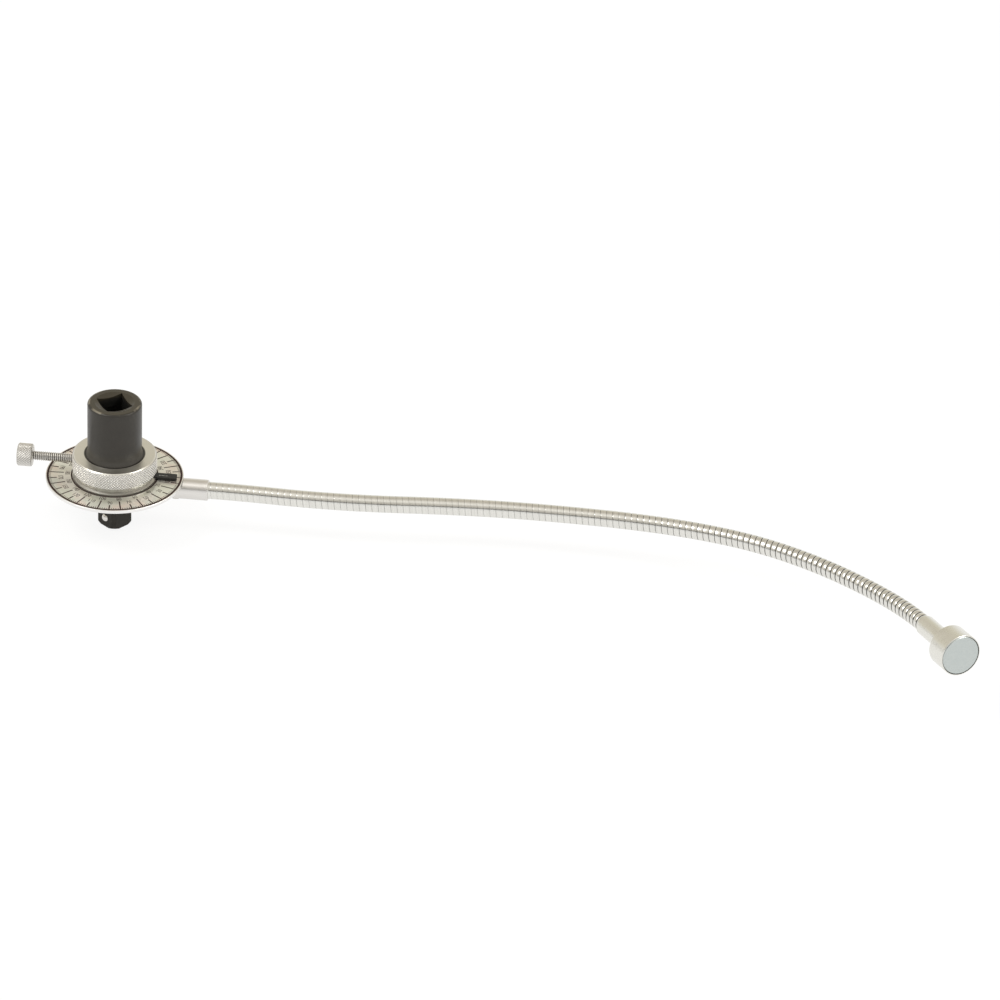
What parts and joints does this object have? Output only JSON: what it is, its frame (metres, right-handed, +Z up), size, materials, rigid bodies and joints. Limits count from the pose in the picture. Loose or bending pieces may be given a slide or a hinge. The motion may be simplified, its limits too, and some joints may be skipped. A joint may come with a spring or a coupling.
{
  "type": "torque angle gauge",
  "caption": "Square-drive torque angle gauge: free-turning degree dial, clamped pointer ring, and a stay-put hose arm ending in a holding magnet.",
  "frame": {"origin": "middle of the male square's end face, on the spindle axis", "axes": "+Z up the spindle towards the wrench, +X along the arm at the dial, opposite the clamp screw"},
  "size_m": [0.4571, 0.1489, 0.0662],
  "materials": {
    "spindle_black": "phosphated",
    "ball_steel": "polished",
    "spring_steel": "bright wire",
    "retaining_black": "blackened",
    "washer_brass": "plain",
    "hub_steel": "turned",
    "dial_face": "satin with a printed scale",
    "ferrule_steel": "satin",
    "screw_steel": "bright zinc",
    "ring_steel": "knurled and turned",
    "pointer_black": "black",
    "pad_brass": "plain",
    "clamp_steel": "knurled",
    "hose_steel": "polished strip",
    "core_sleeve": "plain",
    "cup_steel": "turned satin",
    "magnet_nickel": "ground and plated"
  },
  "bodies": {
    "spindle": {"drive_spindle": "spindle_black", "retaining_ring": "retaining_black", "thrust_washer": "washer_brass", "detent_spring": "spring_steel"},
    "ball": {"detent_ball": "ball_steel"},
    "pointer_ring": {"knurled_ring": "ring_steel", "pointer": "pointer_black", "pointer_screw": "screw_steel"},
    "pad": {"clamp_pad": "pad_brass"},
    "clamp_screw": {"thumb_screw": "clamp_steel"},
    "dial": {"dial_hub": "hub_steel", "dial_plate": "dial_face", "arm_ferrule": "ferrule_steel", "ferrule_screws": "screw_steel", "hose_link_1": "hose_steel", "core_link_1": "core_sleeve"},
    "arm_2": {"hose_link_2": "hose_steel", "core_link_2": "core_sleeve"},
    "arm_3": {"hose_link_3": "hose_steel", "core_link_3": "core_sleeve"},
    "arm_4": {"hose_link_4": "hose_steel", "core_link_4": "core_sleeve"},
    "arm_5": {"hose_link_5": "hose_steel", "core_link_5": "core_sleeve"},
    "arm_6": {"hose_link_6": "hose_steel", "core_link_6": "core_sleeve"},
    "arm_7": {"hose_link_7": "hose_steel", "core_link_7": "core_sleeve"},
    "arm_8": {"hose_link_8": "hose_steel", "core_link_8": "core_sleeve"},
    "arm_9": {"hose_link_9": "hose_steel", "core_link_9": "core_sleeve"},
    "arm_10": {"hose_link_10": "hose_steel", "core_link_10": "core_sleeve"},
    "arm_11": {"hose_link_11": "hose_steel", "core_link_11": "core_sleeve"},
    "arm_12": {"hose_link_12": "hose_steel", "core_link_12": "core_sleeve", "magnet_cup": "cup_steel", "magnet": "magnet_nickel"}
  },
  "joints": [
    {"name": "dial_turn", "type": "hinge", "parent": "spindle", "child": "dial", "pos_m": [0, 0, 0.0223], "axis": [0, 0, 1], "continuous": true},
    {"name": "ring_turn", "type": "hinge", "parent": "spindle", "child": "pointer_ring", "pos_m": [0, 0, 0.0321], "axis": [0, 0, 1], "continuous": true},
    {"name": "clamp_travel", "type": "slide", "parent": "pointer_ring", "child": "pad", "axis": [-1, 0, 0], "range_m": [0, 0.0024]},
    {"name": "clamp_turn", "type": "hinge", "parent": "pad", "child": "clamp_screw", "pos_m": [-0.03, 0, 0.0334], "axis": [-1, 0, 0], "range_deg": [0, 880]},
    {"name": "ball_press", "type": "slide", "parent": "spindle", "child": "ball", "axis": [0.6428, 0.766, 0], "range_m": [0, 0.0009], "stiffness_N_per_m": 1200, "springref_m": -0.0015},
    {"name": "arm_swing_1", "type": "hinge", "parent": "dial", "child": "arm_2", "pos_m": [0.07598, -0.00094, 0.02161], "axis": [0, 0.1132, 0.9936], "range_deg": [-5, 5]},
    {"name": "arm_lift_1", "type": "hinge", "parent": "arm_2", "child": "arm_3", "pos_m": [0.10697, -0.00148, 0.02167], "axis": [0.0262, -0.9932, 0.1132], "range_deg": [-5, 5]},
    {"name": "arm_swing_2", "type": "hinge", "parent": "arm_3", "child": "arm_4", "pos_m": [0.13788, 0.00067, 0.02142], "axis": [0, 0.1132, 0.9936], "range_deg": [-5, 5]},
    {"name": "arm_lift_2", "type": "hinge", "parent": "arm_4", "child": "arm_5", "pos_m": [0.16876, 0.00335, 0.02112], "axis": [0.061, -0.9917, 0.113], "range_deg": [-5, 5]},
    {"name": "arm_swing_3", "type": "hinge", "parent": "arm_5", "child": "arm_6", "pos_m": [0.19974, 0.00416, 0.02103], "axis": [0, 0.1132, 0.9936], "range_deg": [-5, 5]},
    {"name": "arm_lift_3", "type": "hinge", "parent": "arm_6", "child": "arm_7", "pos_m": [0.23073, 0.00322, 0.02113], "axis": [-0.0523, -0.9922, 0.113], "range_deg": [-5, 5]},
    {"name": "arm_swing_4", "type": "hinge", "parent": "arm_7", "child": "arm_8", "pos_m": [0.26156, 0.00014, 0.02149], "axis": [0, 0.1132, 0.9936], "range_deg": [-5, 5]},
    {"name": "arm_lift_4", "type": "hinge", "parent": "arm_8", "child": "arm_9", "pos_m": [0.29173, -0.00679, 0.02227], "axis": [-0.3007, -0.9476, 0.108], "range_deg": [-5, 5]},
    {"name": "arm_swing_5", "type": "hinge", "parent": "arm_9", "child": "arm_10", "pos_m": [0.31999, -0.01929, 0.0237], "axis": [0, 0.1132, 0.9936], "range_deg": [-5, 5]},
    {"name": "arm_lift_5", "type": "hinge", "parent": "arm_10", "child": "arm_11", "pos_m": [0.34528, -0.03704, 0.02572], "axis": [-0.6428, -0.7611, 0.0867], "range_deg": [-5, 5]},
    {"name": "arm_swing_6", "type": "hinge", "parent": "arm_11", "child": "arm_12", "pos_m": [0.36766, -0.05833, 0.02815], "axis": [0, 0.1132, 0.9936], "range_deg": [-5, 5]}
  ],
  "couplings": [
    {"joint": "clamp_turn", "follows": "clamp_travel", "rad_per_m": 6283.2},
    {"joint": "arm_swing_2", "follows": "arm_swing_1", "ratio": 1},
    {"joint": "arm_lift_2", "follows": "arm_lift_1", "ratio": 1},
    {"joint": "arm_swing_3", "follows": "arm_swing_1", "ratio": 1},
    {"joint": "arm_lift_3", "follows": "arm_lift_1", "ratio": 1},
    {"joint": "arm_swing_4", "follows": "arm_swing_1", "ratio": 1},
    {"joint": "arm_lift_4", "follows": "arm_lift_1", "ratio": 1},
    {"joint": "arm_swing_5", "follows": "arm_swing_1", "ratio": 1},
    {"joint": "arm_lift_5", "follows": "arm_lift_1", "ratio": 1},
    {"joint": "arm_swing_6", "follows": "arm_swing_1", "ratio": 1}
  ]
}
